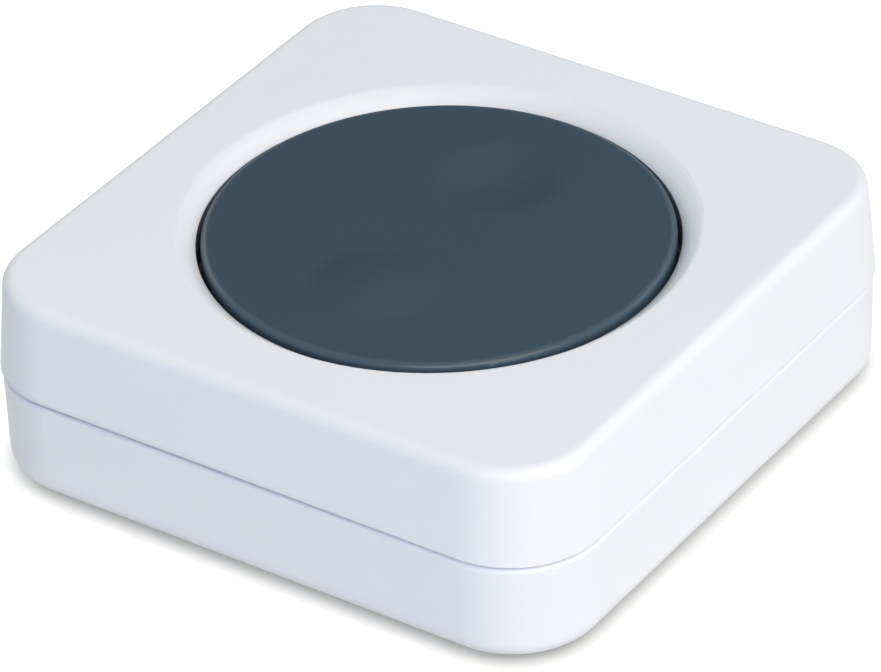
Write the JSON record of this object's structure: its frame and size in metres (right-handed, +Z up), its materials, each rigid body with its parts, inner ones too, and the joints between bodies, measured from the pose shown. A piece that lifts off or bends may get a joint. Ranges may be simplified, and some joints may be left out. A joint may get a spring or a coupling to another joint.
{
  "type": "smart button",
  "caption": "Square smart button with rounded corners and a round key set in a bevelled recess. The key rocks between a hollow and a bump, and a bayonet door covers the coin cell.",
  "frame": {"origin": "middle of the base, on the plane that the rubber feet stand on", "axes": "+Z up, square to the button's face. The key's hollow lies towards +Y and its bump towards -Y. The key rocks about X."},
  "size_m": [0.05, 0.05, 0.0163],
  "materials": {
    "case_upper": "satin white, fine moulded texture",
    "case_lower": "satin white, fine moulded texture",
    "key": "slate blue, matte soft-touch",
    "door": "satin white, fine moulded texture",
    "board": "green solder mask on glass laminate",
    "radio_board": "dark blue solder mask",
    "shield": "tinned sheet steel",
    "antenna": "gold-plated copper",
    "chip": "black moulding compound",
    "inductor": "dark grey ferrite",
    "capacitors": "tan ceramic with tinned ends",
    "resistors": "black glaze with tinned ends",
    "led": "milky clear resin",
    "switch_base": "black moulded nylon",
    "switch_cover": "pressed stainless sheet",
    "terminals": "tinned copper alloy",
    "plunger_back": "red moulded plastic",
    "plunger_front": "red moulded plastic",
    "cell": "nickel-plated steel",
    "contact_negative": "nickel-plated spring bronze",
    "contact_positive": "nickel-plated spring bronze",
    "case_screws": "zinc-plated steel",
    "small_screws": "zinc-plated steel",
    "feet": "dark grey rubber"
  },
  "bodies": {
    "housing": {"upper_housing": "case_upper", "lower_housing": "case_lower", "circuit_board": "board", "radio_module": "radio_board", "module_shield": "shield", "module_antenna": "antenna", "regulator_chip": "chip", "power_inductor": "inductor", "chip_capacitors": "capacitors", "chip_resistors": "resistors", "status_led": "led", "switch_bases": "switch_base", "switch_covers": "switch_cover", "switch_terminals": "terminals", "coin_cell": "cell", "negative_contact": "contact_negative", "positive_contact": "contact_positive", "housing_screws": "case_screws", "board_screws": "small_screws", "rubber_feet": "feet"},
    "button": {"button_cap": "key"},
    "plunger_back": {"switch_plunger_back": "plunger_back"},
    "plunger_front": {"switch_plunger_front": "plunger_front"},
    "battery_door": {"battery_door": "door"}
  },
  "joints": [
    {"name": "button_rock", "type": "hinge", "parent": "housing", "child": "button", "pos_m": [0, 0, 0.01305], "axis": [1, 0, 0], "range_deg": [-1.8, 1.8], "stiffness_Nm_per_rad": 0.5},
    {"name": "plunger_back_slide", "type": "slide", "parent": "housing", "child": "plunger_back", "axis": [0, 0, 1], "range_m": [-0.00026, 0.00026]},
    {"name": "plunger_front_slide", "type": "slide", "parent": "housing", "child": "plunger_front", "axis": [0, 0, 1], "range_m": [-0.00026, 0.00026]},
    {"name": "battery_door_turn", "type": "hinge", "parent": "housing", "child": "battery_door", "pos_m": [0, 0, 0.0015], "axis": [0, 0, -1], "range_deg": [0, 40]}
  ],
  "couplings": [
    {"joint": "plunger_back_slide", "follows": "button_rock", "m_per_rad": 0.00825},
    {"joint": "plunger_front_slide", "follows": "button_rock", "m_per_rad": -0.00825}
  ]
}
